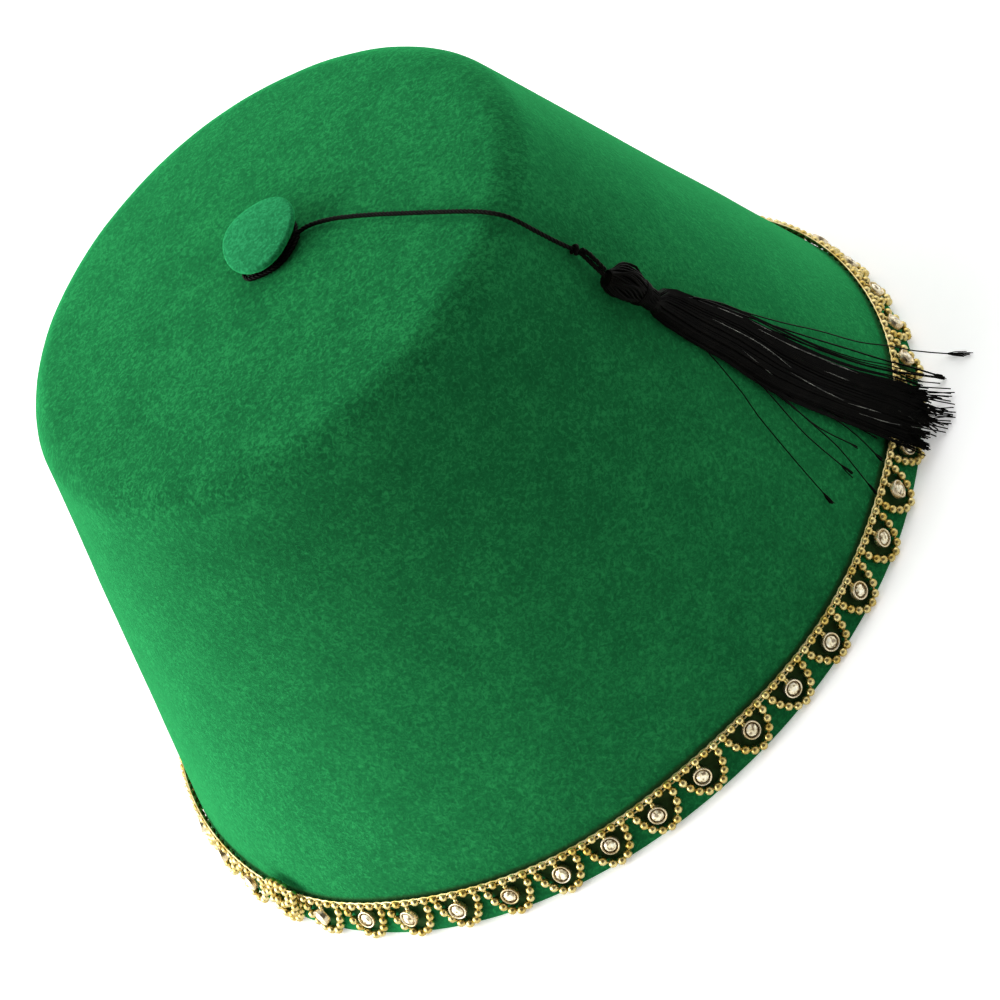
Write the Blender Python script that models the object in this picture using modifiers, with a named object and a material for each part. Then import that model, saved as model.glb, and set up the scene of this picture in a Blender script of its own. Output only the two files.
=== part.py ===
"""Fez hat: a stiff felt crown with a felt button, a corded tassel and a beaded trim round the rim.

Units are metres, +Z is up.  The origin is the middle of the open rim, on the plane that the rim rests on.
The rim's long axis lies along X.  Angles round the hat are measured from +X towards +Y.
"""
import math

import bmesh
import bpy
from mathutils import Matrix, Vector

MM = 0.001
MERGE = 0.00001               # points nearer than this are one
SMOOTH_ANGLE = math.radians(40)   # edges sharper than this stay sharp

# Felt crown
RIM_RADIUS = 95 * MM          # outside, the mean of the slightly oval rim
RIM_OVAL = 1.3 * MM           # added to that radius on X, taken off it on Y
CORNER_RADIUS = 61 * MM       # outside, where the wall's line would meet the top
CORNER_HEIGHT = 110 * MM
TOP_RISE = 3 * MM             # from that corner to the middle of the top
SHOULDER_RADIUS = 8 * MM      # outside radius of the rounded edge
FELT = 2.5 * MM
CROWN_STEPS = 60
SHOULDER_STEPS = 4
TOP_STEPS = 2

# Felt button
BUTTON_X = 3 * MM             # it is sewn a little off the middle
BUTTON_RADIUS = 9.5 * MM
BUTTON_FELT = 2.5 * MM
BUTTON_EDGE = 0.8 * MM        # rounding of its rims
BUTTON_RISE = 0.3 * MM        # its top is slightly domed
BUTTON_STEPS = 20
SHANK_RADIUS = 4 * MM
SHANK_HEIGHT = 1.8 * MM

# Beaded trim
SCALLOPS = 47
ROW_CLIMB = 9.3 * MM          # the top row's height up the wall from the rim edge
ROW_RADIUS = 0.75 * MM
LOOP_RADIUS = 0.7 * MM
LOOP_DROP = 7.7 * MM          # depth of a scallop, a half ellipse, below the top row
LOOP_HALF_WIDTH = 5.06 * MM   # half the ellipse's width
LOOP_POINTS = 6               # along each scallop
LOOP_START = 14.5             # degrees round the half ellipse where a loop clears the top row
TRIM_OFF = 1.1 * MM           # from the felt to the middle of the beads
CUP_CLIMB = 5.2 * MM          # up the wall to the middle of a stone's cup
CUP_RADIUS = 1.95 * MM
CUP_DEPTH = 1.4 * MM
CUP_LIP = 0.35 * MM           # the cup's rim round the stone
CUP_SIDES = 8                 # also the stone's facets round its table
STONE_TABLE = 0.6             # the table's radius as a share of the stone's
STONE_RISE = 0.45 * MM        # the table above the cup's rim
STEM_TAPER = 0.6              # the stem's far end as a share of the cup's side it leaves

# Cord, knot and tassel
CLEAR = 0.3 * MM              # gap between pieces that touch
CORD_RADIUS = 0.7 * MM
CORD_SPACING = 3.6 * MM       # between the points of its tube
CORD_ROUTE = [                # millimetres, from the button's shank to the knot
    (-1.4, -0.6, 114.0), (-2.9, -1.5, 114.0), (-4.4, -3.5, 113.9), (-4.3, -5.9, 113.9),
    (-2.4, -7.7, 113.9), (0.4, -8.8, 113.9), (3.4, -8.8, 113.9), (6.4, -7.2, 113.9),
    (9.3, -5.7, 113.9), (12.4, -6.3, 113.8), (16.9, -10.3, 113.7), (22.2, -17.0, 113.4),
    (28.1, -25.3, 112.9), (33.5, -32.9, 112.3), (37.4, -38.5, 111.8), (40.0, -42.2, 111.0),
    (42.0, -44.7, 109.4), (43.3, -45.9, 107.0), (44.8, -46.5, 102.5), (46.6, -46.8, 97.1),
    (48.0, -47.1, 93.6)]
KNOT_ROUTE = [                # x, y, z and radius, millimetres
    (48.5, -47.3, 92.9, 0.7), (48.7, -47.9, 92.1, 1.15), (48.8, -48.8, 91.1, 1.3),
    (48.9, -49.7, 90.2, 1.0), (49.1, -50.8, 89.1, 0.85), (49.4, -51.5, 88.4, 0.85)]
HEAD_START = (49.8, -52.3, 87.5)
HEAD_END = (54.8, -53.9, 72.9)   # the wound neck, where the skirt leaves it
HEAD_PROFILE = [              # distance from the start and radius, millimetres
    (0.0, 1.3), (0.9, 2.9), (2.8, 3.8), (5.2, 3.8), (7.4, 3.0), (9.2, 2.35), (11.0, 2.3),
    (13.2, 2.6), (14.4, 1.6)]
HEAD_STEPS = 14
ROOT_DEPTH = 1.5 * MM         # the first lock's root, up inside the head from its end
ROOT_STEP = 0.37 * MM         # each next root is deeper by this, so that no two ends lie in one plane
ROOT_SPREAD = 0.42 * MM       # and further to the side by this
FELT_CLEAR = 0.5 * MM         # locks stay this far off the bare felt
TRIM_CLEAR = 2.6 * MM         # and this far off the felt where they hang over the trim
OVER_CLIMB = 13 * MM          # where they have come out far enough to pass over the trim
DROP_CLIMB = 4 * MM           # where they turn out in front of it
LIFT_SHARE = 0.5              # share of the way down at which they start to come off the felt
OVER_SHARE = 0.8              # share of a lock's length where it passes the trim
DROP_SHARE = 0.9              # and where it turns out
LOCK_SPACING = 10 * MM        # between the points of a lock
LOCKS = [                     # tip's angle in degrees, tip's distance out past the felt's rim, tip's height
    (-25.6, 7.0, 1.2), (-27.8, 9.0, 1.2), (-30.2, 9.6, 1.2), (-32.4, 9.2, 1.2),
    (-34.8, 7.6, 1.2), (-37.0, 4.4, 3.6), (-39.0, 4.2, 6.6)]
LOCK_RADII = [                # share of a lock's length, and its radius there in millimetres
    (0.0, 1.5), (0.25, 2.0), (0.7, 2.1), (0.9, 1.5), (1.0, 0.7)]

SLOPE = math.atan2(RIM_RADIUS - CORNER_RADIUS, CORNER_HEIGHT)   # the wall's lean from the vertical


def make_collection(name):
    collection = bpy.data.collections.new(name)
    bpy.context.scene.collection.children.link(collection)
    return collection


def make_material(name, colour, roughness, metallic=0.0):
    material = bpy.data.materials.new(name)
    material.use_nodes = True
    shader = material.node_tree.nodes["Principled BSDF"]
    shader.inputs["Base Color"].default_value = (*colour, 1.0)
    shader.inputs["Roughness"].default_value = roughness
    shader.inputs["Metallic"].default_value = metallic
    material.diffuse_color = (*colour, 1.0)
    return material


def add_object(name, data, collection, material):
    piece = bpy.data.objects.new(name, data)
    collection.objects.link(piece)
    data.materials.clear()
    data.materials.append(material)
    return piece


def as_mesh(piece):
    """Replace an object by its evaluated mesh in world space, with its loose points merged."""
    bpy.context.view_layer.update()
    evaluated = piece.evaluated_get(bpy.context.evaluated_depsgraph_get())
    mesh = bpy.data.meshes.new_from_object(evaluated)
    mesh.transform(piece.matrix_world)
    bm = bmesh.new()
    bm.from_mesh(mesh)
    bmesh.ops.remove_doubles(bm, verts=bm.verts, dist=MERGE)
    bm.to_mesh(mesh)
    bm.free()
    solid = bpy.data.objects.new("solid", mesh)
    piece.users_collection[0].objects.link(solid)
    name = piece.name
    bpy.data.objects.remove(piece)
    solid.name = name
    return solid


def make_cutter(piece, cutters):
    for collection in list(piece.users_collection):
        collection.objects.unlink(piece)
    cutters.objects.link(piece)
    piece.hide_render = True
    piece.display_type = "WIRE"
    return piece


def fuse(piece, others, crossing=False):
    """Union others into piece; crossing is for shapes whose own walls may cross at a tight bend."""
    for other in others:
        union = piece.modifiers.new("fuse " + other.name, "BOOLEAN")
        union.operation = "UNION"
        union.solver = "EXACT"
        union.use_self = crossing
        union.object = other


def oval(angle, height):
    """How much the oval adds to the round radius: all of it at the rim, none at the shoulder."""
    return RIM_OVAL * math.cos(2 * angle) * max(0.0, 1 - height / CORNER_HEIGHT)


def wall_point(angle, climb, off):
    """A point climb up the wall's slope from the rim edge, and off the felt."""
    height = climb * math.cos(SLOPE) + off * math.sin(SLOPE)
    radius = RIM_RADIUS - climb * math.sin(SLOPE) + off * math.cos(SLOPE) + oval(angle, height)
    return Vector((radius * math.cos(angle), radius * math.sin(angle), height))


def smooth_route(points, spacing):
    """Points about spacing apart on a smooth curve through the given ones."""
    ends = [points[0] * 2 - points[1], *points, points[-1] * 2 - points[-2]]
    route = []
    for a, b, c, d in zip(ends, ends[1:], ends[2:], ends[3:]):
        steps = max(1, round((c - b).length / spacing))
        for step in range(steps):
            t = step / steps
            route.append((b * 2 + (c - a) * t + (a * 2 - b * 5 + c * 4 - d) * t ** 2
                          + (b * 3 - a - c * 3 + d) * t ** 3) / 2)
    return route + [points[-1]]


def tube(name, points, radius, collection, material, closed=False, radii=None, sides=8):
    curve = bpy.data.curves.new(name, "CURVE")
    curve.dimensions = "3D"
    curve.bevel_depth = radius
    curve.bevel_resolution = sides // 2 - 2
    curve.use_fill_caps = not closed
    spline = curve.splines.new("POLY")
    spline.points.add(len(points) - 1)
    spline.use_cyclic_u = closed
    for index, point in enumerate(points):
        spline.points[index].co = (*point, 1.0)
        spline.points[index].radius = radii[index] / radius if radii else 1.0
    return add_object(name, curve, collection, material)


def turned(name, profile, steps, collection, material):
    """A solid of revolution about Z from a profile of (radius, height) points, top to bottom."""
    mesh = bpy.data.meshes.new(name)
    mesh.from_pydata([(r, 0.0, z) for r, z in profile], [(i, i + 1) for i in range(len(profile) - 1)], [])
    piece = add_object(name, mesh, collection, material)
    screw = piece.modifiers.new("turn", "SCREW")
    screw.axis = "Z"
    screw.steps = steps
    screw.render_steps = steps
    screw.use_merge_vertices = True
    screw.merge_threshold = MERGE
    screw.use_normal_calculate = False
    return piece


def crown_line(inset):
    """Half the crown's section, rim to middle, inset from the outside by a felt thickness."""
    wall = Vector((-math.sin(SLOPE), math.cos(SLOPE)))
    outward = Vector((math.cos(SLOPE), math.sin(SLOPE)))
    dome = (CORNER_RADIUS ** 2 + TOP_RISE ** 2) / (2 * TOP_RISE)
    dome_centre = Vector((0.0, CORNER_HEIGHT + TOP_RISE - dome))
    start = Vector((RIM_RADIUS, 0.0)) - outward * SHOULDER_RADIUS - dome_centre
    along = start.dot(wall)
    reach = dome - SHOULDER_RADIUS
    climb = -along + math.sqrt(along ** 2 - start.length_squared + reach ** 2)
    shoulder = start + wall * climb + dome_centre
    top_angle = math.atan2(shoulder.y - dome_centre.y, shoulder.x - dome_centre.x)
    line = [(RIM_RADIUS - inset / math.cos(SLOPE), 0.0)]
    for step in range(SHOULDER_STEPS + 1):
        angle = SLOPE + (top_angle - SLOPE) * step / SHOULDER_STEPS
        radius = SHOULDER_RADIUS - inset
        line.append((shoulder.x + radius * math.cos(angle), shoulder.y + radius * math.sin(angle)))
    for step in range(1, TOP_STEPS + 1):
        angle = top_angle + (math.pi / 2 - top_angle) * step / TOP_STEPS
        radius = dome - inset
        line.append((radius * math.cos(angle), dome_centre.y + radius * math.sin(angle)))
    line[-1] = (0.0, line[-1][1])
    return line


def make_crown(collection, felt):
    outside = crown_line(0.0)
    inside = crown_line(FELT)
    crown = as_mesh(turned("felt_crown", outside[::-1] + inside, CROWN_STEPS, collection, felt))
    for vertex in crown.data.vertices:
        x, y, z = vertex.co
        radius = math.hypot(x, y)
        if radius > 0:
            vertex.co = (*(Vector((x, y)) * (1 + oval(math.atan2(y, x), z) / radius)), z)
    return crown


def make_button(collection, felt):
    under = CORNER_HEIGHT + TOP_RISE + CLEAR
    disc = under + SHANK_HEIGHT
    top = disc + BUTTON_FELT
    edge = BUTTON_RADIUS - BUTTON_EDGE
    bevel = BUTTON_EDGE / 4
    profile = [(0.0, top + BUTTON_RISE), (edge, top), (BUTTON_RADIUS - bevel, top - bevel),
               (BUTTON_RADIUS, top - BUTTON_EDGE), (BUTTON_RADIUS, disc + BUTTON_EDGE), (edge, disc),
               (SHANK_RADIUS, disc), (SHANK_RADIUS, under), (0.0, under)]
    button = as_mesh(turned("top_button", profile, BUTTON_STEPS, collection, felt))
    button.location.x = BUTTON_X
    return button


def stone_in_cup():
    """A round cup with a faceted stone in it, facing +Z, and a stem along +Y to the top row."""
    bm = bmesh.new()
    half_side = math.pi / CUP_SIDES
    bmesh.ops.create_cone(bm, cap_ends=True, segments=CUP_SIDES, radius1=CUP_RADIUS, radius2=CUP_RADIUS,
                          depth=CUP_DEPTH, matrix=Matrix.Rotation(half_side, 4, "Z"))
    bm.normal_update()
    face = next(f for f in bm.faces if f.normal.z > 0.9)
    bmesh.ops.inset_region(bm, faces=[face], thickness=CUP_LIP)
    stone = CUP_RADIUS * math.cos(half_side) - CUP_LIP
    bmesh.ops.inset_region(bm, faces=[face], thickness=stone * (1 - STONE_TABLE))
    bmesh.ops.translate(bm, verts=face.verts, vec=(0, 0, STONE_RISE))
    bm.normal_update()
    side = next(f for f in bm.faces if f.normal.y > 0.99)
    stem = bmesh.ops.extrude_discrete_faces(bm, faces=[side])["faces"][0]
    middle = stem.calc_center_median()
    for vertex in stem.verts:
        vertex.co = middle + (vertex.co - middle) * STEM_TAPER
        vertex.co.y = ROW_CLIMB - CUP_CLIMB
    mesh = bpy.data.meshes.new("stone_in_cup")
    bm.to_mesh(mesh)
    bm.free()
    return mesh


def make_beaded_row(collection, cutters, gold):
    count = SCALLOPS * 2
    points = [wall_point(2 * math.pi * i / count, ROW_CLIMB, TRIM_OFF) for i in range(count)]
    row = as_mesh(tube("beaded_row", points, ROW_RADIUS, collection, gold, closed=True, sides=6))
    bm = bmesh.new()
    for i in range(SCALLOPS):
        angle = 2 * math.pi * i / SCALLOPS
        across = Vector((-math.sin(angle), math.cos(angle), 0.0))
        out = Vector((math.cos(angle) * math.cos(SLOPE), math.sin(angle) * math.cos(SLOPE), math.sin(SLOPE)))
        place = Matrix((across, out.cross(across), out)).transposed().to_4x4()
        place.translation = wall_point(angle, CUP_CLIMB, TRIM_OFF)
        stone = stone_in_cup()
        stone.transform(place)
        bm.from_mesh(stone)
        bpy.data.meshes.remove(stone)
    mesh = bpy.data.meshes.new("stones")
    bm.to_mesh(mesh)
    bm.free()
    stones = add_object("stones", mesh, collection, gold)
    fuse(row, [make_cutter(stones, cutters)])
    return row


def make_beaded_scallops(collection, gold):
    points = []
    for i in range(SCALLOPS):
        for step in range(LOOP_POINTS):
            turn = math.radians(LOOP_START + (180 - 2 * LOOP_START) * step / (LOOP_POINTS - 1))
            across = -LOOP_HALF_WIDTH * math.cos(turn)
            climb = ROW_CLIMB - LOOP_DROP * math.sin(turn)
            angle = 2 * math.pi * i / SCALLOPS + across / (RIM_RADIUS - climb * math.sin(SLOPE))
            points.append(wall_point(angle, climb, TRIM_OFF))
    return as_mesh(tube("beaded_scallops", points, LOOP_RADIUS, collection, gold, closed=True, sides=6))


def make_cord(collection, black):
    points = [Vector(p) * MM for p in CORD_ROUTE]
    return as_mesh(tube("tassel_cord", smooth_route(points, CORD_SPACING), CORD_RADIUS, collection, black))


def make_knot(collection, black):
    points = [Vector(p[:3]) * MM for p in KNOT_ROUTE]
    radii = [p[3] * MM for p in KNOT_ROUTE]
    return as_mesh(tube("cord_knot", points, CORD_RADIUS, collection, black, radii=radii))


def lock_radius(share):
    """Radius of a lock of threads at a share of its length."""
    for (a, low), (b, high) in zip(LOCK_RADII, LOCK_RADII[1:]):
        if share <= b:
            return (low + (high - low) * (share - a) / (b - a)) * MM
    return LOCK_RADII[-1][1] * MM


def make_lock(index, collection, black):
    """One lock of the skirt: down the felt, out over the trim and onto what the rim rests on."""
    angle, out, height = LOCKS[index]
    angle = math.radians(angle)
    neck = (Vector(HEAD_END) - Vector(HEAD_START)).normalized()
    side = neck.cross(Vector((math.cos(angle), math.sin(angle), 0.0))).normalized()
    spread = index - (len(LOCKS) - 1) / 2
    root = Vector(HEAD_END) * MM - neck * (ROOT_DEPTH + ROOT_STEP * index) - side * ROOT_SPREAD * spread
    over = wall_point(angle, OVER_CLIMB, TRIM_CLEAR + lock_radius(OVER_SHARE))
    tip_radius = RIM_RADIUS + oval(angle, 0.0) + out * MM
    tip = Vector((tip_radius * math.cos(angle), tip_radius * math.sin(angle), height * MM))
    drop = wall_point(angle, DROP_CLIMB, TRIM_CLEAR + lock_radius(DROP_SHARE))
    route = [root]
    for share in (0.2, 0.4, 0.6, 0.8):
        point = root.lerp(over, share)
        turn = math.atan2(point.y, point.x)
        climb = point.z / math.cos(SLOPE)
        lift = FELT_CLEAR + lock_radius(share * OVER_SHARE)
        lift += (TRIM_CLEAR - FELT_CLEAR) * max(0.0, share - LIFT_SHARE) / (1 - LIFT_SHARE)
        route.append(wall_point(turn, climb, lift))
    route.append(over)
    if tip.z < drop.z / 2:
        route.append(drop)
    route.append(tip)
    points = smooth_route(route, LOCK_SPACING)
    lengths = [0.0]
    for a, b in zip(points, points[1:]):
        lengths.append(lengths[-1] + (b - a).length)
    radii = [lock_radius(length / lengths[-1]) for length in lengths]
    return as_mesh(tube(f"lock_{index + 1}", points, CORD_RADIUS, collection, black, radii=radii, sides=6))


def make_tassel(collection, cutters, black):
    start = Vector(HEAD_START) * MM
    axis = (Vector(HEAD_END) * MM - start).normalized()
    profile = [(0.0, 0.0)] + [(r * MM, -d * MM) for d, r in HEAD_PROFILE] + [(0.0, -HEAD_PROFILE[-1][0] * MM)]
    head = turned("tassel", profile, HEAD_STEPS, collection, black)
    head.matrix_world = Matrix.Translation(start) @ (-axis).to_track_quat("Z", "Y").to_matrix().to_4x4()
    head = as_mesh(head)
    locks = [make_cutter(make_lock(index, collection, black), cutters) for index in range(len(LOCKS))]
    fuse(head, locks, crossing=True)
    return head


def smooth_faces(piece):
    piece.data.shade_smooth()
    piece.data.set_sharp_from_angle(angle=SMOOTH_ANGLE)


def build():
    for old in list(bpy.data.objects):
        bpy.data.objects.remove(old)
    hat = make_collection("fez_hat")
    cutters = make_collection("cutters")
    felt = make_material("green felt", (0.012, 0.20, 0.065), 0.95)
    button_felt = make_material("button felt", (0.014, 0.23, 0.08), 0.95)
    gold = make_material("gilt beads", (0.80, 0.58, 0.22), 0.25, 1.0)
    bead_gold = make_material("gilt scallops", (0.78, 0.56, 0.20), 0.25, 1.0)
    cord_black = make_material("black cord", (0.01, 0.009, 0.008), 0.7)
    knot_black = make_material("black knot", (0.009, 0.008, 0.008), 0.7)
    rayon = make_material("black rayon", (0.008, 0.008, 0.009), 0.45)
    pieces = [
        make_crown(hat, felt),
        make_button(hat, button_felt),
        make_beaded_row(hat, cutters, gold),
        make_beaded_scallops(hat, bead_gold),
        make_cord(hat, cord_black),
        make_knot(hat, knot_black),
        make_tassel(hat, cutters, rayon),
    ]
    for piece in pieces:
        smooth_faces(piece)


build()
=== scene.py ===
import random
from math import atan2, cos, dist, pi, radians, sin, sqrt, tau

import bmesh
import bpy
from mathutils import Matrix, Vector


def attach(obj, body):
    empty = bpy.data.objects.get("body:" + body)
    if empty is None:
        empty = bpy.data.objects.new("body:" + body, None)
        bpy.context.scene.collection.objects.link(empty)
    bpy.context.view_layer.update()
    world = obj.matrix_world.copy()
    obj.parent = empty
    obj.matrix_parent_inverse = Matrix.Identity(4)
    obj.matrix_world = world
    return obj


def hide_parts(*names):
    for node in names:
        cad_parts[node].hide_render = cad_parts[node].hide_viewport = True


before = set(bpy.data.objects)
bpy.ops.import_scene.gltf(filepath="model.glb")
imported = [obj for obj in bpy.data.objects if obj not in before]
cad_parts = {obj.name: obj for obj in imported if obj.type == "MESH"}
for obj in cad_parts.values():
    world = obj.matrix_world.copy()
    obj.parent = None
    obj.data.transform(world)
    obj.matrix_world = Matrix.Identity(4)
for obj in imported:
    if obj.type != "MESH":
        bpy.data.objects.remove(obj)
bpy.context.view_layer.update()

# Camera. It looks down on the front of the hat from just under a metre away and is rolled, so that
# the crown points to the upper left and the rim runs from lower left to upper right.
MM = 0.001
AIM = Vector((2.75, 0, 22.6)) * MM
DISTANCE = 950 * MM
AZIMUTH = radians(0.2)
ELEVATION = radians(37.65)
ROLL = radians(42.8)
LENS = 155.1  # the lens and the film's width in millimetres, as the camera takes them
FILM = 36
FAR_CLIP = 20

towards = Vector((sin(AZIMUTH) * cos(ELEVATION),
                  -cos(AZIMUTH) * cos(ELEVATION),
                  sin(ELEVATION)))
level = Vector((cos(AZIMUTH), sin(AZIMUTH), 0))
upright = towards.cross(level)
camera_right = level * cos(ROLL) - upright * sin(ROLL)
camera_up = level * sin(ROLL) + upright * cos(ROLL)
turned = Matrix((camera_right, camera_up, towards)).transposed().to_euler()
bpy.ops.object.camera_add(location=AIM + towards * DISTANCE, rotation=turned)
camera = bpy.context.object
camera.data.lens = LENS
camera.data.sensor_width = FILM
camera.data.clip_end = FAR_CLIP
bpy.context.scene.camera = camera

# Tassel cord. A thin black rayon cord of three twisted plies. It is looped round the shank of the
# button, lies loose over the crown and hangs down the wall to the knot above the tassel.
CORD_ROUTE = [  # millimetres, from the button's shank to the knot
    (-1.4, -0.6, 114.0), (-2.9, -1.5, 114.0), (-4.4, -3.5, 113.9), (-4.3, -5.9, 113.9),
    (-2.4, -7.7, 113.9), (0.4, -8.8, 113.9), (3.4, -8.8, 113.9), (6.4, -7.2, 113.9),
    (9.3, -5.7, 113.9), (12.4, -6.3, 113.8), (16.9, -10.3, 113.7), (22.2, -17.0, 113.4),
    (28.1, -25.3, 112.9), (33.5, -32.9, 112.3), (37.4, -38.5, 111.8), (40.0, -42.2, 111.0),
    (42.0, -44.7, 109.4), (43.3, -45.9, 107.0), (44.8, -46.5, 102.5), (46.6, -46.8, 97.1),
    (48.0, -47.1, 93.6)]
CORD_PLIES = 3
PLY_RADIUS = 0.29 * MM
PLY_OFF = 0.25 * MM
CORD_LAY = 3 * MM  # the length in which a ply goes once round
CORD_STEP = 0.4 * MM
MERGE = 0.001 * MM  # points of a yarn this near each other are one
YARN_SMOOTH = radians(70)  # the sharpest edge that is still shaded smooth


def colour(code):
    """Turns an sRGB hex colour into the linear colour that a node's socket takes."""
    parts = [int(code[start:start + 2], 16) / 255 for start in (1, 3, 5)]
    return [*(part / 12.92 if part < 0.04045 else ((part + 0.055) / 1.055) ** 2.4 for part in parts), 1]


def add(tree, kind, sockets=None, **settings):
    """Adds a node with its settings. A socket takes a value, an output, or a node for its first output."""
    made = tree.nodes.new("ShaderNode" + kind)
    for name, value in settings.items():
        setattr(made, name, value)
    for name, value in (sockets or {}).items():
        if isinstance(value, bpy.types.Node):
            value = value.outputs[0]
        if isinstance(value, bpy.types.NodeSocket):
            tree.links.new(value, made.inputs[name])
        else:
            made.inputs[name].default_value = value
    return made


def maths(tree, operation, *values):
    """Adds a Math node that does the operation with the values."""
    return add(tree, "Math", dict(enumerate(values)), operation=operation)


def remap(tree, value, low, high, to_low, to_high, kind="LINEAR"):
    """Adds a node that maps the range from low to high onto another."""
    return add(tree, "MapRange", {"Value": value, "From Min": low, "From Max": high,
                                  "To Min": to_low, "To Max": to_high}, interpolation_type=kind)


def noise(tree, place, size, detail, distortion=0):
    """Adds noise with spots of about the size."""
    return add(tree, "TexNoise", {"Vector": place, "Scale": 1 / size, "Detail": detail,
                                  "Distortion": distortion})


def shades(tree, factor, *stops):
    """Adds a colour ramp with a stop at each (place, hex colour)."""
    ramp = add(tree, "ValToRGB", {"Fac": factor})
    while len(ramp.color_ramp.elements) < len(stops):
        ramp.color_ramp.elements.new(0.5)
    for element, (place, code) in zip(ramp.color_ramp.elements, stops):
        element.position = place
        element.color = colour(code)
    return ramp


def material(name):
    """A new material, its empty node tree, and the Object coordinates of the piece it is on."""
    made = bpy.data.materials.new(name)
    made.use_nodes = True
    made.node_tree.nodes.clear()
    return made, made.node_tree, add(made.node_tree, "TexCoord").outputs["Object"]


def surface(made, sockets):
    """Ends a material with a shader that has these sockets."""
    shader = add(made.node_tree, "BsdfPrincipled", sockets)
    add(made.node_tree, "OutputMaterial", {"Surface": shader})
    return made


# Viscose rayon, spun as a fine glossy filament and dyed black. Its black is broken by short grey
# gleams, painted into its colour as painted highlights. A filament is too fine to show, so the gleams
# are drawn coarser.
RAYON_GLEAM = 0.35 * MM
RAYON_STREAK = 2.5 * MM
RAYON_DEPTH = 0.05 * MM


def rayon(name, dark, light, gloss):
    made, tree, place = material(name)
    fibres = noise(tree, place, RAYON_GLEAM, 2)
    mixed = maths(tree, "MULTIPLY", fibres, noise(tree, place, RAYON_STREAK, 1))
    ramp = shades(tree, mixed, (0.15, dark), (0.42, light))
    relief = add(tree, "Bump", {"Height": fibres, "Strength": 0.5, "Distance": RAYON_DEPTH})
    return surface(made, {"Base Color": ramp, "Roughness": 0.45, "IOR": 1.5,
                          "Specular IOR Level": gloss, "Normal": relief})


rayon_cord = rayon("black_rayon_cord", "#030302", "#0E0C07", 0.035)
rayon_black = rayon("black_rayon_thread", "#010100", "#090805", 0.035)
# Pale grey rayon, for the few threads on top that are painted pale as glints.
painted_glint_rayon = rayon("rayon_painted_glint_thread", "#1C1D19", "#8A8C82", 0.3)


def smooth_route(points, spacing):
    """A smooth curve through the points, as points about the spacing apart."""
    ends = [points[0] * 2 - points[1], *points, points[-1] * 2 - points[-2]]
    route = []
    for a, b, c, d in zip(ends, ends[1:], ends[2:], ends[3:]):
        steps = max(1, round((c - b).length / spacing))
        for step in range(steps):
            t = step / steps
            square = (a * 2 - b * 5 + c * 4 - d) * t ** 2
            cube = (b * 3 - a - c * 3 + d) * t ** 3
            route.append((b * 2 + (c - a) * t + square + cube) / 2)
    return route + [points[-1]]


def millimetres(points):
    return [Vector(point) * MM for point in points]


def frames(route):
    """Two directions across the route at each of its points, which turn as little as they can."""
    heading = (route[1] - route[0]).normalized()
    first = heading.orthogonal().normalized()
    found = []
    for index, point in enumerate(route):
        before = route[max(index - 1, 0)]
        after = route[min(index + 1, len(route) - 1)]
        heading = (after - before).normalized()
        first = (first - heading * first.dot(heading)).normalized()
        found.append((point, first, heading.cross(first)))
    return found


def round_about(first, second, turn):
    """The direction at an angle round a route, between its two directions across."""
    return first * cos(turn) + second * sin(turn)


def twisted(route):
    """The routes of the cord's plies, twisted round its own route."""
    strands = [[] for _ in range(CORD_PLIES)]
    gone = 0
    last = route[0]
    for point, first, second in frames(route):
        gone += (point - last).length
        last = point
        for ply, strand in enumerate(strands):
            turn = tau * (gone / CORD_LAY + ply / CORD_PLIES)
            strand.append((point + round_about(first, second, turn) * PLY_OFF, 1))
    return strands


def select_only(*pieces):
    """Selects the pieces and nothing else, with the first of them active."""
    bpy.ops.object.select_all(action="DESELECT")
    for piece in pieces:
        piece.select_set(True)
    bpy.context.view_layer.objects.active = pieces[0]


def face_outwards():
    """Turns all faces of the piece in edit mode outwards and leaves edit mode."""
    bpy.ops.mesh.select_all(action="SELECT")
    bpy.ops.mesh.normals_make_consistent(inside=False)
    bpy.ops.object.mode_set(mode="OBJECT")


def yarn(name, strands, radius, roundness, finishes, choose=lambda number: 0):
    """One mesh of round strands. A strand is a list of points, each with its share of the radius."""
    curve = bpy.data.curves.new(name, "CURVE")
    curve.dimensions = "3D"
    curve.bevel_depth = radius
    curve.bevel_resolution = roundness
    curve.use_fill_caps = True
    for finish in finishes:
        curve.materials.append(finish)
    for number, strand in enumerate(strands):
        spline = curve.splines.new("POLY")
        spline.points.add(len(strand) - 1)
        spline.material_index = choose(number)
        for point, (place, share) in zip(spline.points, strand):
            point.co = (*place, 1)
            point.radius = share
    piece = bpy.data.objects.new(name, curve)
    bpy.context.collection.objects.link(piece)
    select_only(piece)
    bpy.ops.object.convert(target="MESH")
    bpy.ops.object.mode_set(mode="EDIT")
    bpy.ops.mesh.select_all(action="SELECT")
    bpy.ops.mesh.remove_doubles(threshold=MERGE)
    face_outwards()
    bpy.ops.object.shade_smooth_by_angle(angle=YARN_SMOOTH)
    return bpy.context.object


cord_route = smooth_route(millimetres(CORD_ROUTE), CORD_STEP)
cord = yarn("tassel_cord_plies", twisted(cord_route), PLY_RADIUS, 1, [rayon_cord])
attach(cord, "root")
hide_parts("tassel_cord")

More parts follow.
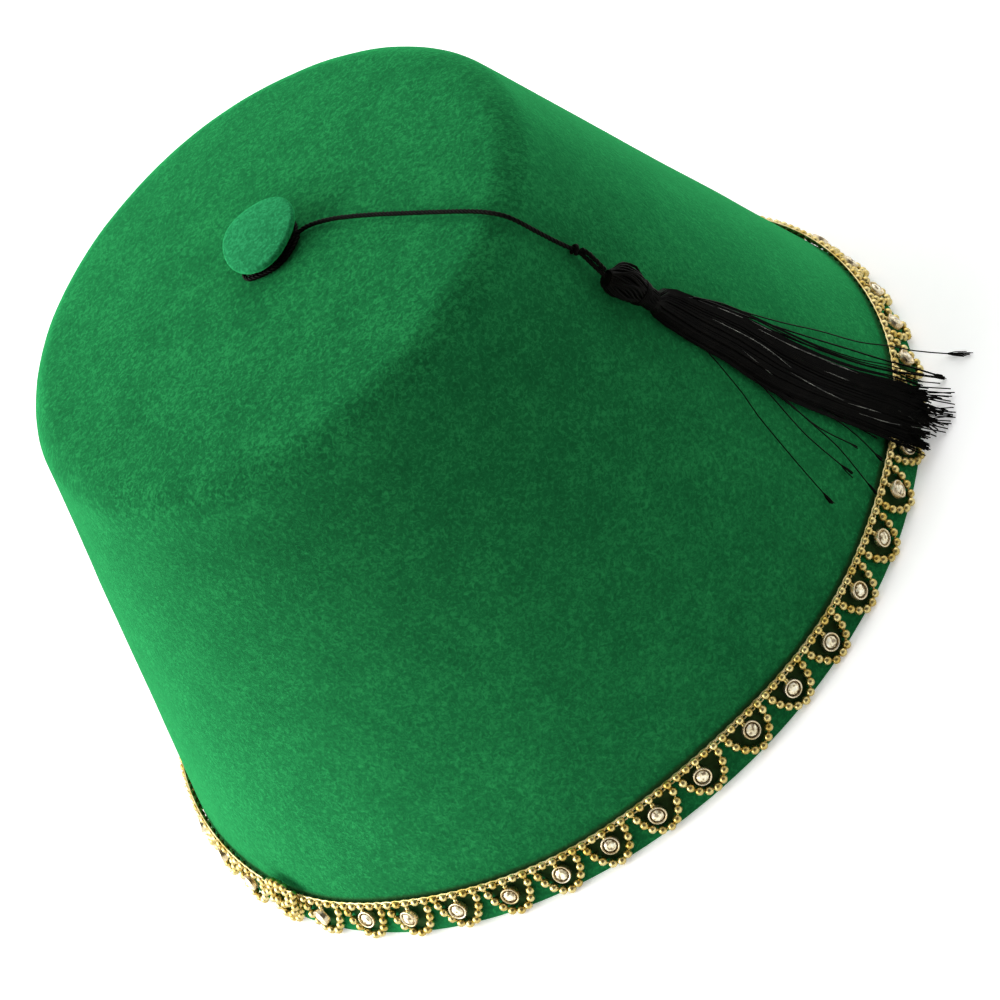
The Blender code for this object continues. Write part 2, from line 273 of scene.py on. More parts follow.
# Shank binding. A few turns of the same rayon are wound round the button's shank over the cord's end.
# They are packed under the right side of the button and show beside it as a dark crescent.
BINDING_ROUTES = [  # millimetres
    [(-1.6, -2.0, 114.3), (-3.3, -3.7, 114.2), (-3.4, -5.3, 114.2), (-1.9, -6.8, 114.2), (0.6, -7.8, 114.3),
     (3.4, -7.8, 114.4), (6.2, -6.4, 114.5), (8.4, -4.2, 114.4), (9.6, -1.6, 114.2)],
    [(0.0, -2.8, 115.0), (-2.1, -3.9, 114.9), (-2.3, -5.2, 114.8), (-0.8, -6.4, 114.9), (1.6, -7.0, 115.1),
     (4.4, -6.7, 115.2), (6.8, -5.2, 115.2), (8.4, -2.8, 115.1), (9.0, -0.4, 114.9)],
    [(-3.7, -5.6, 113.8), (-2.4, -7.3, 113.8), (0.6, -9.3, 113.9), (3.8, -9.6, 113.9), (6.8, -8.3, 113.9),
     (9.3, -6.3, 113.8)],
    [(5.6, -7.6, 114.2), (8.0, -6.3, 114.1), (9.8, -4.2, 113.9), (10.4, -1.8, 113.8), (9.6, 0.4, 113.8)]]

strands = []
for route in BINDING_ROUTES:
    strands += twisted(smooth_route(millimetres(route), CORD_STEP))
binding = yarn("shank_binding", strands, PLY_RADIUS, 1, [rayon_cord])
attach(binding, "root")

# Knot. The same cord is tied in a small overhand knot above the tassel, with its cut tail lying
# along it down to the tassel's head.
KNOT_ROUTE = [(48.0, -47.1, 93.6), (48.5, -47.3, 92.9), (48.7, -47.9, 92.1), (48.8, -48.8, 91.1),
              (48.9, -49.7, 90.2), (49.0, -50.8, 88.9), (49.1, -51.6, 87.7), (49.3, -52.1, 86.4)]
TAIL_ROUTE = [(49.4, -47.9, 92.4), (49.8, -48.8, 91.2), (49.9, -49.8, 90.1), (50.0, -50.8, 88.9),
              (50.0, -51.7, 87.4)]
WRAP_RADIUS = 0.75 * MM  # the turns of yarn round the top of the knot
WRAP_TURNS = 1.6
WRAP_YARN = 0.46 * MM
WRAP_STEP = 0.1 * MM

strands = []
for route in (KNOT_ROUTE, TAIL_ROUTE):
    strands += twisted(smooth_route(millimetres(route), CORD_STEP))
wrap = []
wrapped = frames(smooth_route(millimetres(KNOT_ROUTE[:3]), WRAP_STEP))
for index, (point, first, second) in enumerate(wrapped):
    turn = tau * WRAP_TURNS * index / len(wrapped)
    wrap.append((point + round_about(first, second, turn) * WRAP_RADIUS, WRAP_YARN / PLY_RADIUS))
strands.append(wrap)
knot = yarn("overhand_knot", strands, PLY_RADIUS, 1, [rayon_cord])
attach(knot, "root")
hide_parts("cord_knot")

# Tassel head. The skirt's threads are doubled over the end of the cord and bound below with a few
# turns of the same thread. That makes a short lumpy head, with loops that stand out on one side.
HEAD_ROUTE = [(49.0, -52.6, 86.2), (49.7, -52.6, 84.7), (50.7, -52.7, 82.8), (51.7, -52.7, 80.6),
              (52.5, -53.0, 77.9), (53.3, -53.4, 74.8)]
HEAD_RADII = [1.9, 2.8, 3.1, 2.9, 2.2, 2.2]
HEAD_STEP = 0.9 * MM
HEAD_CORE = 0.5 * MM  # how far the core lies below the head's surface
HEAD_THREADS = 40
HEAD_YARN = 0.32 * MM
HEAD_SINK = 0.7  # how deep a thread lies in the surface, as a share of its radius
HEAD_UNEVEN = 0.05  # how far a thread starts from its even place, in radians
HEAD_LUMPS = (-0.3, 0.45)  # how much lower or higher it lies than the rest, in millimetres
HEAD_TWIST = 0.7  # how far it turns round the head on the way down, in radians
HEAD_WAVER = 0.16  # how far it wavers from side to side, in radians
HEAD_LOOP = 1.1 * MM  # how far a thread's loop stands out, and on which side
HEAD_LOOP_SIDE = Vector((0.6, 0.6, 0.5)).normalized()
HEAD_LOOP_SHARES = (0.2, 1.8)  # how much less or more than that it is
BIND_FROM = 0.66  # shares of the head's length that the binding covers
BIND_TO = 0.8
BIND_TURNS = 5
BIND_YARN = 0.2 * MM
BIND_PROUD = 0.6  # how high the binding lies on the threads, as a share of its radius
BIND_STEPS = 16


def head_size(share):
    """The head's radius at a share of its length."""
    place = share * (len(HEAD_RADII) - 1)
    low = min(int(place), len(HEAD_RADII) - 2)
    return (HEAD_RADII[low] + (HEAD_RADII[low + 1] - HEAD_RADII[low]) * (place - low)) * MM


rng = random.Random(11)
head_frames = frames(smooth_route(millimetres(HEAD_ROUTE), HEAD_STEP))
core = [(point, (head_size(index / (len(head_frames) - 1)) - HEAD_CORE) / HEAD_YARN)
        for index, (point, first, second) in enumerate(head_frames)]
strands = [core]
for number in range(HEAD_THREADS):
    start = tau * number / HEAD_THREADS + rng.uniform(-HEAD_UNEVEN, HEAD_UNEVEN)
    lump = rng.uniform(*HEAD_LUMPS) * MM
    stands = rng.uniform(*HEAD_LOOP_SHARES) * HEAD_LOOP
    strand = []
    for index, (point, first, second) in enumerate(head_frames):
        share = index / (len(head_frames) - 1)
        turn = start + HEAD_TWIST * share + HEAD_WAVER * sin(share * 9 + number)
        out = round_about(first, second, turn)
        looped = max(0, min(1, share * 6 - 0.6, 5.6 - share * 9))  # not at the top or the binding
        standing = stands * max(0, out.dot(HEAD_LOOP_SIDE)) ** 3 * looped
        size = head_size(share) - HEAD_YARN * HEAD_SINK + lump * sin(pi * min(1, share / BIND_FROM))
        strand.append((point + out * (size + standing), 1))
    strands.append(strand)
bound = []
for step in range(BIND_TURNS * BIND_STEPS + 1):
    share = BIND_FROM + (BIND_TO - BIND_FROM) * step / (BIND_TURNS * BIND_STEPS)
    place = share * (len(head_frames) - 1)
    low = min(int(place), len(head_frames) - 2)
    point, first, second = head_frames[low]
    point = point.lerp(head_frames[low + 1][0], place - low)
    turn = tau * step / BIND_STEPS
    size = head_size(share) + BIND_YARN * BIND_PROUD
    bound.append((point + round_about(first, second, turn) * size, BIND_YARN / HEAD_YARN))
strands.append(bound)
tassel_head = yarn("tassel_head", strands, HEAD_YARN, 1, [rayon_black])
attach(tassel_head, "root")
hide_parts("tassel")

# Tassel skirt. Several hundred black rayon threads hang from the neck down the wall, pass over the
# beaded trim and end on the floor or just above it. A few have strayed from the rest.
RIM_RADIUS = 95 * MM
RIM_OVAL = 1.3 * MM
CORNER_RADIUS = 61 * MM
CORNER_HEIGHT = 110 * MM
SLOPE = atan2(RIM_RADIUS - CORNER_RADIUS, CORNER_HEIGHT)
THREADS = 370
THREAD_RADIUS = 0.18 * MM
THREAD_STEP = 5 * MM
THREAD_LIFT = 0.3 * MM  # the least height of a thread above the floor
CLUMPS = 15
CLUMP_SPREAD = 0.42  # how far a thread lies from the middle of its clump, in clumps
CLUMP_GATHER = 0.4  # how much closer to it the thread comes on the way down
CLUMP_SWAY = 0.35  # how far clumps sway and threads waver at their ends, in degrees round the hat
THREAD_WAVER = 0.25
CLUMP_REACH = 1.1  # how much higher or lower than the rest clumps and threads end, in millimetres
THREAD_REACH = 0.8
SKIRT_ANGLE = radians(-44.6)  # the skirt's middle at its top, and how far up the wall that is
SKIRT_CLIMB = 75 * MM
ANY_TURN = (0, 6.28)  # radians
LOOSE_SHARE = 0.05  # the share of the threads that leave the rest on the way down
LOOSE_UPWARD = 0.75  # the share of these that leave at the upper edge
LOOSE_REACH = 0.4  # how far they go, as a share of the skirt's width
GLINT_SHARE = 0.6  # a glint's share of a thread's radius
GLINTS = [  # where a thread painted pale as a glint lies on top: degrees, climb in mm
    [(-36.3, 55), (-33.7, 38.7), (-32.0, 24.4)], [(-37.2, 50), (-35.6, 38.5), (-32.9, 23)],
    [(-40.9, 40), (-40.2, 31.8), (-39.4, 24.9)], [(-39.4, 24), (-37.8, 15)],
    [(-39.5, 20), (-38.4, 12.1), (-36.8, 4)], [(-41.5, 62.5), (-39.9, 49), (-40.3, 37.5)],
    [(-36.1, 11), (-36.4, 5)], [(-42.6, 53), (-42.9, 44)], [(-34.2, 30), (-32.8, 21)],
    [(-37.3, 33), (-35.8, 24)], [(-38.2, 61), (-36.8, 54)]]
FAN = [  # climb in mm, lower and upper edge in degrees, off the felt and depth in mm
    (74.6, -46.0, -40.6, 1.0, 3.8), (71.5, -46.1, -39.2, 1.0, 3.7), (65.0, -45.8, -37.8, 0.9, 3.5),
    (54.4, -44.7, -35.6, 0.7, 3.2), (43.0, -44.2, -34.9, 0.7, 3.0), (31.4, -42.4, -33.9, 0.7, 2.8),
    (20.0, -40.5, -31.9, 0.9, 2.6), (12.5, -39.8, -30.6, 1.9, 2.4), (6.5, -39.3, -30.2, 3.1, 2.0)]
NECK = [(52.6, -53.1, 77.4), (53.6, -53.5, 74.2)]
NECK_RADIUS = 2.1 * MM
LONG_SHARE = 0.13  # the share of the threads that reach the floor
LONG_OUT = (3.5, 9.0)  # how far they lie out on it, in millimetres
LONG_HIGH = (0.3, 1.0)
END_DROP = (0.4, 2.2)  # how far the other threads' ends sag, in millimetres
STRAY_STEP = 3 * MM
STRAY_APART = 0.35  # how far strays that lie together are apart, in millimetres
STRAY_SHARE = 0.8  # a stray or frayed thread's share of a thread's radius
FRAY_SHARE = 0.7
FRAY_THREADS = 7
FRAY_SPREAD = 0.28  # how far they spread, as a share of the frayed end's width
STRAYS = [  # threads together, length and width of the frayed end, route; millimetres
    (1, 5.6, 2.1, [(60.3, -50.0, 66.0), (64.4, -46.9, 57.0), (66.6, -45.2, 50.8), (71.4, -43.7, 40.7),
                   (77.0, -41.2, 29.5), (82.1, -39.2, 18.6), (86.6, -39.0, 12.0), (90.3, -38.7, 5.9),
                   (95.2, -40.5, 0.6), (98.3, -45.9, 0.6)]),
    (2, 2.5, 0.8, [(59.3, -50.4, 67.0), (62.0, -48.9, 61.8), (66.9, -46.4, 49.0), (72.9, -45.0, 35.5),
                   (79.3, -43.0, 21.5), (83.4, -43.6, 13.6), (86.2, -44.4, 9.0), (90.8, -45.7, 0.6)]),
    (2, 2.5, 0.8, [(60.5, -50.0, 64.5), (67.4, -47.1, 46.2), (72.8, -46.3, 32.6), (78.1, -45.3, 20.2),
                   (82.2, -45.4, 12.8), (85.0, -46.0, 9.0), (90.8, -45.9, 0.5)]),
    (1, 3.0, 1.0, [(54.3, -54.8, 66.0), (54.8, -55.2, 59.4), (54.9, -56.7, 55.9), (54.5, -60.9, 46.9),
                   (53.8, -63.2, 42.0), (53.3, -68.4, 29.7), (53.2, -72.6, 18.8)]),
    (1, 3.0, 1.0, [(56.6, -53.2, 61.0), (57.3, -55.8, 52.0), (58.6, -57.7, 44.9), (58.8, -59.3, 40.5),
                   (58.7, -62.9, 32.4), (59.1, -64.6, 27.2), (60.6, -67.5, 16.9)]),
    (1, 2.0, 0.8, [(57.2, -53.0, 60.0), (57.7, -55.4, 51.0), (59.0, -57.5, 44.2), (60.6, -59.9, 35.4),
                   (62.1, -61.9, 27.0), (65.5, -62.8, 17.4)]),
    (1, 3.0, 0.8, [(57.8, -53.5, 57.5), (58.4, -56.2, 47.0), (60.4, -58.7, 38.2), (61.3, -61.3, 30.3),
                   (62.3, -64.0, 21.6), (61.9, -67.9, 13.2), (61.8, -69.2, 9.8)]),
    (1, 2.0, 0.8, [(60.3, -54.5, 51.0), (60.6, -57.2, 41.0), (62.7, -58.7, 33.2), (65.6, -59.1, 25.3),
                   (67.1, -60.7, 18.3), (67.6, -63.9, 10.8)]),
    (1, 1.5, 0.5, [(60.7, -54.3, 50.4), (62.0, -57.2, 39.0), (65.0, -58.3, 30.0), (67.9, -59.0, 20.3),
                   (70.0, -60.4, 13.5)])]


def wall_point(angle, climb, off):
    """The point that lies a climb up the wall from the rim and a distance off the felt."""
    height = climb * cos(SLOPE) + off * sin(SLOPE)
    oval = RIM_OVAL * cos(2 * angle) * max(0.0, 1 - height / CORNER_HEIGHT)
    radius = RIM_RADIUS - climb * sin(SLOPE) + off * cos(SLOPE) + oval
    return Vector((radius * cos(angle), radius * sin(angle), height))


rng = random.Random(23)
neck = millimetres(NECK)
neck_line = (neck[1] - neck[0]).normalized()
outward = wall_point(SKIRT_ANGLE, SKIRT_CLIMB, MM) - wall_point(SKIRT_ANGLE, SKIRT_CLIMB, 0)
outward = (outward - neck_line * outward.dot(neck_line)).normalized()
sideways = outward.cross(neck_line)
sideways = sideways if sideways.x > 0 else -sideways
clump_sway = [rng.uniform(-1, 1) for _ in range(CLUMPS)]
clump_reach = [rng.gauss(0, CLUMP_REACH) for _ in range(CLUMPS)]
clump_depth = [rng.uniform(-0.25, 0.25) for _ in range(CLUMPS)]
strands = []
for _ in range(THREADS):
    loose = rng.random() < LOOSE_SHARE
    clump = rng.randrange(CLUMPS)
    stray = rng.gauss(0, CLUMP_SPREAD)
    depth = rng.random() * 0.75 + 0.125 + clump_depth[clump] * 0.5
    drift = -CLUMP_GATHER * stray / CLUMPS
    across = min(max((clump + 0.5 + stray) / CLUMPS, 0), 1)
    if loose:
        upward = rng.random() < LOOSE_UPWARD
        across = 0.95 if upward else 0.05
        drift = rng.uniform(0.2, 1) ** 1.5 * LOOSE_REACH * (1 if upward else -0.4)
        depth *= 0.5
    lean = sqrt(1 - 0.75 * (2 * depth - 1) ** 2) * (2 * across - 1)
    points = [place + (sideways * lean + outward * (2 * depth - 1) * 0.85) * NECK_RADIUS for place in neck]
    sway = clump_sway[clump] * 0.7 + rng.uniform(-0.3, 0.3)
    phase = rng.uniform(*ANY_TURN)
    reach = clump_reach[clump] + rng.gauss(0, THREAD_REACH)
    bulge_share = sqrt(max(0, 1 - (2 * across - 1) ** 2)) * depth
    for index, (climb, lower, upper, off, thick) in enumerate(FAN):
        share = index / (len(FAN) - 1)
        apart = across + drift * min(1, max(0, share - 0.15) * 2)
        waver = THREAD_WAVER * share * sin(4 * share + phase) + CLUMP_SWAY * share * sway
        angle = radians(lower + (upper - lower) * apart + waver)
        last = index == len(FAN) - 1
        bulge = thick * bulge_share
        points.append(wall_point(angle, (climb + (reach if last else 0)) * MM, (off + bulge) * MM))
    if rng.random() < LONG_SHARE and across > 0.3:
        out = rng.uniform(*LONG_OUT)
        points.append(wall_point(angle + radians(rng.uniform(0, 1.6)), 0.2 * MM, out * MM))
        points[-1].z = rng.uniform(*LONG_HIGH) * MM
    else:
        drop = rng.uniform(*END_DROP)
        points.append(wall_point(angle + radians(rng.uniform(-0.3, 0.5)),
                                 max(climb + reach - drop * 1.6, 0.6) * MM, (off + bulge + drop * 0.5) * MM))
    strands.append([(point, 1) for point in smooth_route(points, THREAD_STEP)])
for glint in GLINTS:
    points = []
    for degrees, climb in glint:
        above = [row for row in FAN[:-1] if row[0] >= climb][-1]
        below = FAN[FAN.index(above) + 1]
        share = (climb - above[0]) / (below[0] - above[0])
        lower, upper, off, thick = (a + (b - a) * share for a, b in zip(above[1:], below[1:]))
        across = (degrees - lower) / (upper - lower)
        height = off + thick * sqrt(max(0, 1 - (2 * across - 1) ** 2)) * 0.9
        points.append(wall_point(radians(degrees), climb * MM, height * MM))
    route = smooth_route(points, THREAD_STEP / 2)
    strands.append([(point, GLINT_SHARE * (0.2 + 0.8 * sin(pi * index / (len(route) - 1))))
                    for index, point in enumerate(route)])
for count, fray_length, fray_width, route in STRAYS:
    route = millimetres(route)
    for _ in range(count):
        shift = Vector((rng.gauss(0, STRAY_APART), rng.gauss(0, STRAY_APART), 0)) * MM * (count > 1)
        points = [place + shift * ((index + 1) / len(route)) for index, place in enumerate(route)]
        strands.append([(point, STRAY_SHARE) for point in smooth_route(points, STRAY_STEP)])
    end = route[-1]
    run = (end - route[-2]).normalized() * fray_length * MM
    for _ in range(FRAY_THREADS):
        spread = Vector((rng.gauss(0, 1), rng.gauss(0, 1), rng.gauss(0, 0.6)))
        spread *= FRAY_SPREAD * fray_width * MM
        frayed = (end - run + spread * 0.2, end - run * 0.55 + spread * 0.8,
                  end + spread + run * rng.uniform(-0.06, 0.06))
        strands.append([(point, FRAY_SHARE) for point in frayed])
for strand in strands:
    for point, share in strand:
        point.z = max(point.z, THREAD_LIFT)
# The glint threads take the pale rayon, as painted glints.
glints = range(THREADS, THREADS + len(GLINTS))
skirt = yarn("tassel_skirt", strands, THREAD_RADIUS, 0, [rayon_black, painted_glint_rayon],
             lambda number: int(number in glints))
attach(skirt, "root")
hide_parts("tassel")

# Felt crown. One cone of pressed wool felt, blocked over a form: a straight tapered wall, a soft
# shoulder and a slightly domed top. The rim is cut and left raw. It is open below.
TOP_RISE = 3 * MM
FULL_HEIGHT = CORNER_HEIGHT + TOP_RISE
SHOULDER_BEVEL = 5.3 * MM  # the bevel that gives a shoulder of 8 mm radius
FELT = 2.5 * MM
CROWN_SIDES = 180
WALL_RINGS = 35
TOP_RINGS = 5
TOP_RING = 10 * MM
NEAR = 0.01 * MM  # what is closer than this counts as at the same place
BLOCKING_WIDTH = 30 * MM  # the size of the dents that are left by the block, and their depth
BLOCKING_DEPTH = 0.5 * MM
RIM_TRIM = 0.2 * MM  # the rim is cut level below this height
RIM_BEVEL = 0.5 * MM
SOFT_EDGE = radians(50)  # the sharpest edge that is still shaded smooth


def pick(kind, test):
    """Selects the vertices, edges or faces of the piece in edit mode that pass the test."""
    bpy.ops.mesh.select_mode(type=kind)
    bpy.ops.mesh.select_all(action="DESELECT")
    mesh = bmesh.from_edit_mesh(bpy.context.object.data)
    for item in {"VERT": mesh.verts, "EDGE": mesh.edges, "FACE": mesh.faces}[kind]:
        if test(item):
            item.select_set(True)
    mesh.select_flush_mode()
    bmesh.update_edit_mesh(bpy.context.object.data)


def pick_facing(side):
    """Selects the level faces of the piece in edit mode that look up, for 1, or down, for -1."""
    pick("FACE", lambda face: face.normal.z * side > 0.99)


def lies_at(edge, height):
    """Whether both ends of an edge are at a height."""
    return all(abs(vert.co.z - height) < NEAR for vert in edge.verts)


def scale(x, y, z):
    """Scales what is selected about the origin."""
    bpy.ops.transform.resize(value=(x, y, z), center_override=(0, 0, 0))


def extrude(height):
    """Extrudes the selected faces straight up, or down for a height below 0."""
    bpy.ops.mesh.extrude_region_move(TRANSFORM_OT_translate={"value": (0, 0, height)})


def apply_modifier(piece, name, kind, **settings):
    """Adds a modifier with its settings and applies it."""
    added = piece.modifiers.new(name, kind)
    for key, value in settings.items():
        setattr(added, key, value)
    bpy.ops.object.modifier_apply(modifier=added.name)


bpy.ops.mesh.primitive_cone_add(vertices=CROWN_SIDES, radius1=RIM_RADIUS, radius2=CORNER_RADIUS,
                                depth=CORNER_HEIGHT, location=(0, 0, CORNER_HEIGHT / 2))
crown = bpy.context.object
crown.name = "felt_cone"
bpy.ops.object.transform_apply()
bpy.ops.object.mode_set(mode="EDIT")
pick_facing(-1)
bpy.ops.mesh.delete(type="FACE")
pick("VERT", lambda vert: vert.co.z < NEAR)
scale(1 + RIM_OVAL / RIM_RADIUS, 1 - RIM_OVAL / RIM_RADIUS, 1)
pick_facing(1)
for ring in range(TOP_RINGS):
    outer = 1 - ((CORNER_RADIUS - ring * TOP_RING) / CORNER_RADIUS) ** 2
    inner = 1 - ((CORNER_RADIUS - (ring + 1) * TOP_RING) / CORNER_RADIUS) ** 2
    bpy.ops.mesh.inset(thickness=TOP_RING, depth=0)
    bpy.ops.transform.translate(value=(0, 0, TOP_RISE * (inner - outer)))
bpy.ops.mesh.poke()
pick("EDGE", lambda edge: lies_at(edge, CORNER_HEIGHT))
bpy.ops.mesh.bevel(offset=SHOULDER_BEVEL, segments=8)
pick("EDGE", lambda edge: min(vert.co.z for vert in edge.verts) < NEAR
     and max(vert.co.z for vert in edge.verts) > NEAR)
bpy.ops.mesh.subdivide(number_cuts=WALL_RINGS - 1)
face_outwards()
blocking = bpy.data.textures.new("uneven_blocking", "CLOUDS")
blocking.noise_scale = BLOCKING_WIDTH
apply_modifier(crown, "uneven blocking", "DISPLACE", texture=blocking, texture_coords="LOCAL",
               strength=BLOCKING_DEPTH, mid_level=0.5)
apply_modifier(crown, "felt thickness", "SOLIDIFY", thickness=FELT, offset=-1, use_even_offset=True)
bpy.ops.object.mode_set(mode="EDIT")
pick("VERT", lambda vert: vert.co.z < RIM_TRIM)
scale(1, 1, 0)
pick("EDGE", lambda edge: lies_at(edge, 0)
     and abs(edge.verts[0].co.xy.length - edge.verts[1].co.xy.length) < FELT / 4)
bpy.ops.mesh.bevel(offset=RIM_BEVEL, segments=3)
bpy.ops.object.mode_set(mode="OBJECT")
bpy.ops.object.shade_smooth_by_angle(angle=SOFT_EDGE)


# Wool felt, fulled and pressed. Its matted fibres give a mottled matt green with short pale hairs,
# and a faint bloom where it is seen edge on. A fibre is too fine to show, so the hairs are drawn
# coarser. The nap is pressed flatter on the wall than on the top.
TUFTS = 0.95 * MM
HAIRS = 1.8 * MM
PATCHES = 9 * MM
NAP_DEPTH = 0.5 * MM
NAP_FROM = 103 * MM  # the height above which the nap is raised more and more
PRESSED_NAP = 0.6  # how strong the mottling is below it, as a share of that on the top


def wool_felt(name, dark, middle, light, bloom, darkening=None):
    made, tree, place = material(name)
    tufts = noise(tree, place, TUFTS, 1, 0.8)
    patches = noise(tree, place, PATCHES, 3)
    from_middle = maths(tree, "SUBTRACT", noise(tree, place, HAIRS, 1, 1.6), 0.5)
    nearness = maths(tree, "ABSOLUTE", from_middle)
    hairs = remap(tree, nearness, 0, 0.09, 0.72, 0.42, "SMOOTHSTEP")
    matted = add(tree, "Mix", {0: 0.42, 2: tufts, 3: hairs})
    uneven = add(tree, "Mix", {0: 0.2, 2: matted, 3: patches})
    height = add(tree, "SeparateXYZ", {"Vector": place})
    raised = remap(tree, height.outputs["Z"], NAP_FROM, FULL_HEIGHT, PRESSED_NAP, 1)
    nap = add(tree, "Mix", {0: raised, 2: 0.5, 3: uneven})
    ramp = shades(tree, nap, (0.38, dark), (0.5, middle), (0.62, light))
    relief = add(tree, "Bump", {"Height": matted, "Strength": 0.22, "Distance": NAP_DEPTH})
    # The crown's felt gets its darker shoulder and its painted shade under the trim here.
    final_colour = darkening(tree, place, ramp) if darkening else ramp
    return surface(made, {
        "Base Color": final_colour, "Roughness": 0.95, "Specular IOR Level": 0.02, "Normal": relief,
        "Sheen Weight": 1.0, "Sheen Roughness": 0.45, "Sheen Tint": colour(bloom)})


# The trim is glued on. Inside every scallop the felt is painted dark, as painted shade under the trim's
# beads and stones, and a line of painted shade lies just above the row. The felt's colour is also made
# darker towards the shoulder.
SCALLOPS = 47
TRIM_TURN = radians(-0.4)  # where the trim's first scallop is
ROW_CLIMB = 8.75 * MM
LEVEL_WAVES = [  # the row isn't level: waves, millimetres, degree of one top
    (8, 0.42, -91), (4, 0.25, -101)]
SPACING_WAVE = (4, 0.28, -55)  # nor evenly spaced: waves, degrees, degree of one top
LOOP_HALF_WIDTH = 5 * MM
LOOP_DROP = 8 * MM
# The colour of the painted shade inside the scallops and in the line above the row.
PAINTED_SHADE = "#2A1B0A"
SHADE_INSIDE_AMOUNT = 0.75  # how much of the felt's colour the painted shade takes inside a scallop, and in the line
SHADE_LINE_AMOUNT = 0.7
SHADE_LINE_REACH = 1.8 * MM  # how far the dark line reaches above the row
SHADE_EDGE = 0.12  # the softness of the painted shade's edge, as a share of the scallop


def wave(tree, angle, waves, top):
    """The cosine that has a number of waves round the hat and a top at the given degree."""
    return maths(tree, "COSINE", maths(tree, "MULTIPLY_ADD", angle, waves, -waves * radians(top)))


def darker_shoulder_and_painted_shade(tree, place, felt_colour):
    """Darkens the felt's colour towards the shoulder, and paints shade in the scallops and above the row."""
    parts = add(tree, "SeparateXYZ", {"Vector": place})
    height = maths(tree, "MULTIPLY", parts.outputs["Z"], 1 / FULL_HEIGHT)
    # The felt's colour is made darker towards the shoulder.
    shoulder_darkening = shades(tree, height, (0.2, "#FFFFFF"), (0.85, "#E0E0E0"), (0.97, "#F2F2F2"))
    shoulder_darkening = add(tree, "Mix", {0: 1.0, 6: felt_colour, 7: shoulder_darkening}, data_type="RGBA",
                  blend_type="MULTIPLY")
    angle = maths(tree, "ARCTAN2", parts.outputs["Y"], parts.outputs["X"])
    waves, degrees, top = SPACING_WAVE
    laid = maths(tree, "MULTIPLY_ADD", wave(tree, angle, waves, top), -radians(degrees), angle)
    turns = maths(tree, "MULTIPLY_ADD", laid, SCALLOPS / tau, SCALLOPS + 0.5 - TRIM_TURN * SCALLOPS / tau)
    width = tau * RIM_RADIUS / SCALLOPS / LOOP_HALF_WIDTH
    across = maths(tree, "MULTIPLY_ADD", maths(tree, "FRACT", turns), width, -0.5 * width)
    drop = maths(tree, "MULTIPLY_ADD", parts.outputs["Z"], -1 / (LOOP_DROP * cos(SLOPE)),
                 ROW_CLIMB / LOOP_DROP)
    for waves, climb, top in LEVEL_WAVES:
        drop = maths(tree, "MULTIPLY_ADD", wave(tree, angle, waves, top), climb * MM / LOOP_DROP, drop)
    below = maths(tree, "MAXIMUM", drop, 0)
    above = maths(tree, "MULTIPLY", maths(tree, "MINIMUM", drop, 0), LOOP_DROP / SHADE_LINE_REACH)
    from_middle = add(tree, "CombineXYZ", {"X": across, "Y": below})
    reach = add(tree, "VectorMath", {0: from_middle}, operation="LENGTH")
    # Painted shade inside each scallop.
    inside = remap(tree, reach.outputs["Value"], 1 - SHADE_EDGE, 1, SHADE_INSIDE_AMOUNT, 0, "SMOOTHSTEP")
    # Painted shade in a line just above the row.
    line = maths(tree, "MULTIPLY", remap(tree, above, -1, -0.45, 0, 1), SHADE_LINE_AMOUNT)
    upper = maths(tree, "LESS_THAN", drop, 0)
    amount = add(tree, "Mix", {0: upper, 2: inside, 3: line})
    darkened = add(tree, "Mix", {0: amount, 6: shoulder_darkening.outputs[2], 7: colour(PAINTED_SHADE)}, data_type="RGBA")
    return darkened.outputs[2]


# The crown's felt, with painted shade inside the scallops and above the row.
crown_felt = wool_felt("green_wool_felt", "#0E4726", "#145C31", "#227A42", "#2AAE60", darker_shoulder_and_painted_shade)
crown.data.materials.append(crown_felt)
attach(crown, "root")
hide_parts("felt_crown")

# Button. A thick disc cut from the same felt, sewn to the middle of the top on a short shank of
# thread that the tassel's cord is looped round.
BUTTON_X = 3.3 * MM
BUTTON_Y = -0.8 * MM
BUTTON_RADIUS = 9.5 * MM
BUTTON_SIDES = 96
BUTTON_LOW = 115.7 * MM
BUTTON_FELT = 1.9 * MM
BUTTON_EDGE = 0.5 * MM
BUTTON_UNDERCUT = 1.1 * MM
BUTTON_RISE = 0.2 * MM
BUTTON_RINGS = 3
BUTTON_RING = 2.2 * MM
HAND_CUT = [(2, 0.75, 67), (3, 0.4, -116), (5, 0.1, 40)]  # waves round the edge, millimetres, degrees
SHANK_RADIUS = 4 * MM
SHANK_LOW = 112.4 * MM


def disc(sides, radius, thick, middle):
    """A disc round the hat's axis, with its middle at a height, left in edit mode to be shaped."""
    bpy.ops.mesh.primitive_cylinder_add(vertices=sides, radius=radius, depth=thick, location=(0, 0, middle))
    made = bpy.context.object
    bpy.ops.object.transform_apply()
    bpy.ops.object.mode_set(mode="EDIT")
    return made


button = disc(BUTTON_SIDES, BUTTON_RADIUS, BUTTON_FELT, BUTTON_LOW + BUTTON_FELT / 2)
button.name = "felt_button"
pick("EDGE", lambda edge: lies_at(edge, BUTTON_LOW + BUTTON_FELT))
bpy.ops.mesh.bevel(offset=BUTTON_EDGE, segments=3)
pick("EDGE", lambda edge: lies_at(edge, BUTTON_LOW))
bpy.ops.mesh.bevel(offset=BUTTON_UNDERCUT, segments=4)
pick_facing(1)
for ring in range(BUTTON_RINGS):
    bpy.ops.mesh.inset(thickness=BUTTON_RING, depth=0)
    bpy.ops.transform.translate(value=(0, 0, BUTTON_RISE / BUTTON_RINGS))
bpy.ops.mesh.poke()
pick_facing(-1)
bpy.ops.mesh.inset(thickness=BUTTON_RADIUS - BUTTON_UNDERCUT - SHANK_RADIUS, depth=0)
extrude(SHANK_LOW - BUTTON_LOW)
face_outwards()
